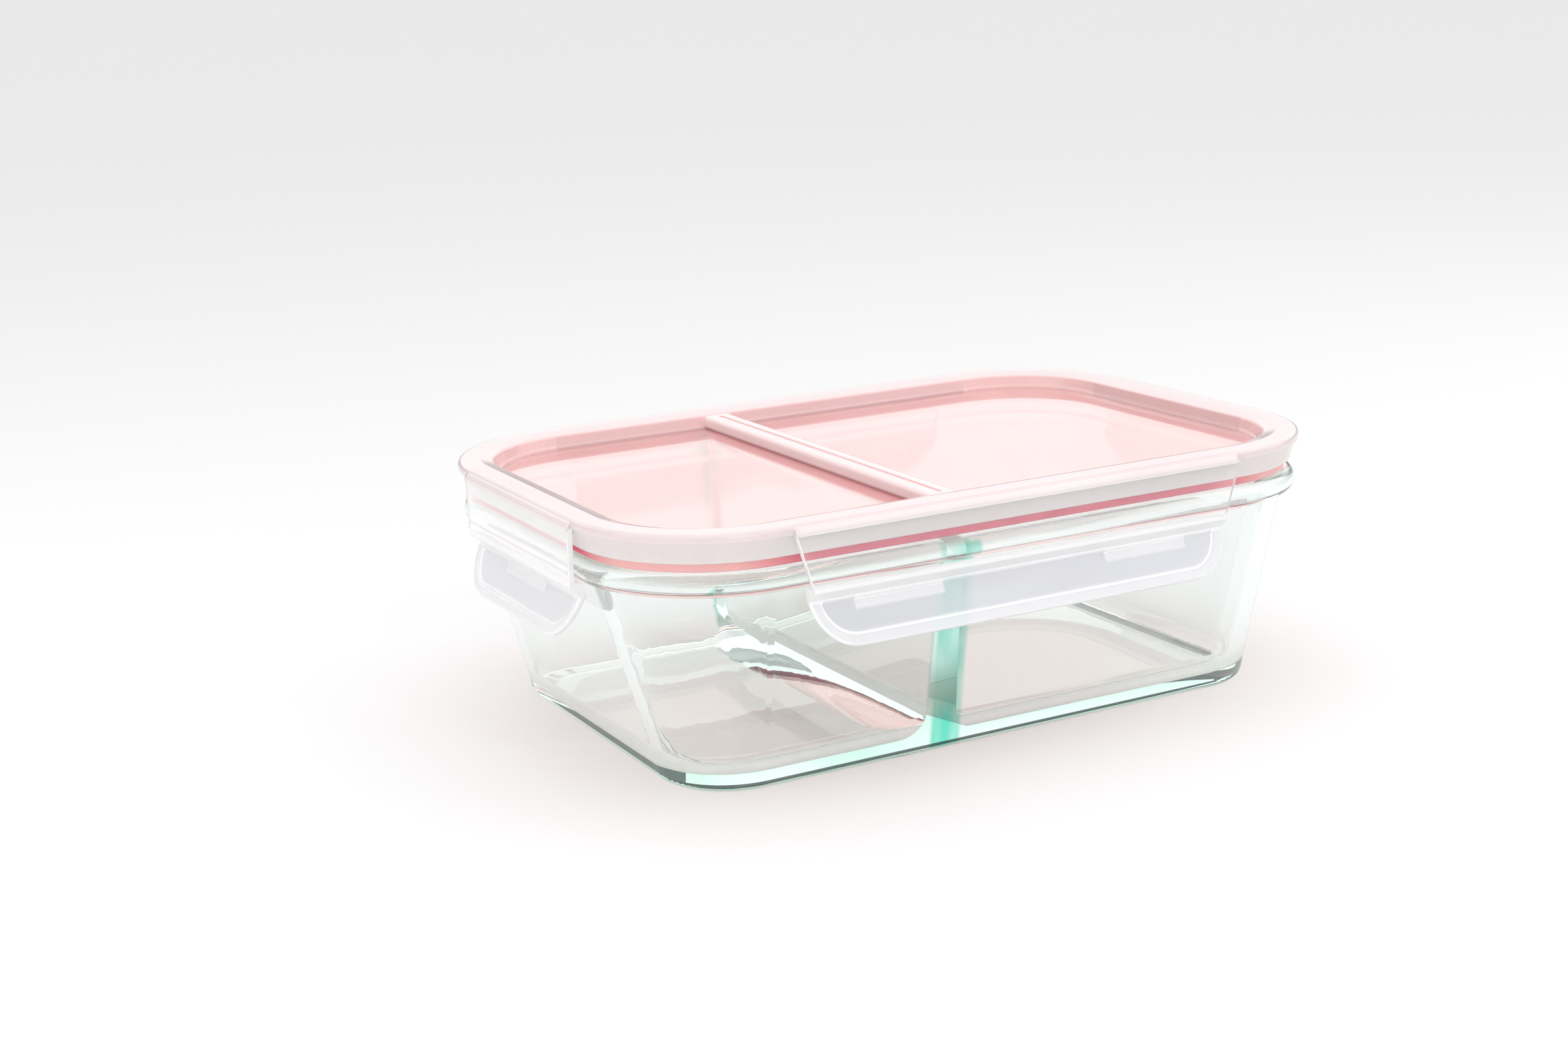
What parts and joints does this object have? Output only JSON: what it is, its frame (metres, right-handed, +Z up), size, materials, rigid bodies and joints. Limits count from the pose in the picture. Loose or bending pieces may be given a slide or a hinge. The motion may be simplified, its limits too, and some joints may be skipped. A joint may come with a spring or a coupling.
{
  "type": "divided glass lunch box",
  "caption": "Rectangular glass lunch box with a moulded divider, a sealed translucent lid and hinged snap latches on all sides.",
  "frame": {"origin": "on the table, under the centre of the box's bounding box", "axes": "+X along the long side, towards the large compartment; +Z up; -Y is the front long side"},
  "size_m": [0.2272, 0.1572, 0.0715],
  "materials": {
    "clear_glass": "clear pressed glass, smooth, faint green in thick sections",
    "lid_plastic": "translucent pink polypropylene, satin",
    "latch_plastic": "milky clear polypropylene, satin",
    "gasket_rubber": "soft red silicone, matt"
  },
  "bodies": {
    "tray": {"glass_tray": "clear_glass"},
    "lid": {"lid": "lid_plastic", "gasket": "gasket_rubber", "hinge_front": "lid_plastic", "hinge_back": "lid_plastic", "hinge_left": "lid_plastic", "hinge_right": "lid_plastic"},
    "latch_front": {"latch_front": "latch_plastic"},
    "latch_back": {"latch_back": "latch_plastic"},
    "latch_left": {"latch_left": "latch_plastic"},
    "latch_right": {"latch_right": "latch_plastic"}
  },
  "joints": [
    {"name": "lid_lift", "type": "slide", "parent": "tray", "child": "lid", "axis": [0, 0, 1], "range_m": [0, 0.18]},
    {"name": "latch_front_hinge", "type": "hinge", "parent": "lid", "child": "latch_front", "pos_m": [0, -0.0756, 0.0697], "axis": [-1, 0, 0], "range_deg": [0, 110]},
    {"name": "latch_back_hinge", "type": "hinge", "parent": "lid", "child": "latch_back", "pos_m": [0, 0.0756, 0.0697], "axis": [1, 0, 0], "range_deg": [0, 110]},
    {"name": "latch_left_hinge", "type": "hinge", "parent": "lid", "child": "latch_left", "pos_m": [-0.1106, 0, 0.0697], "axis": [0, 1, 0], "range_deg": [0, 110]},
    {"name": "latch_right_hinge", "type": "hinge", "parent": "lid", "child": "latch_right", "pos_m": [0.1106, 0, 0.0697], "axis": [0, -1, 0], "range_deg": [0, 110]}
  ]
}
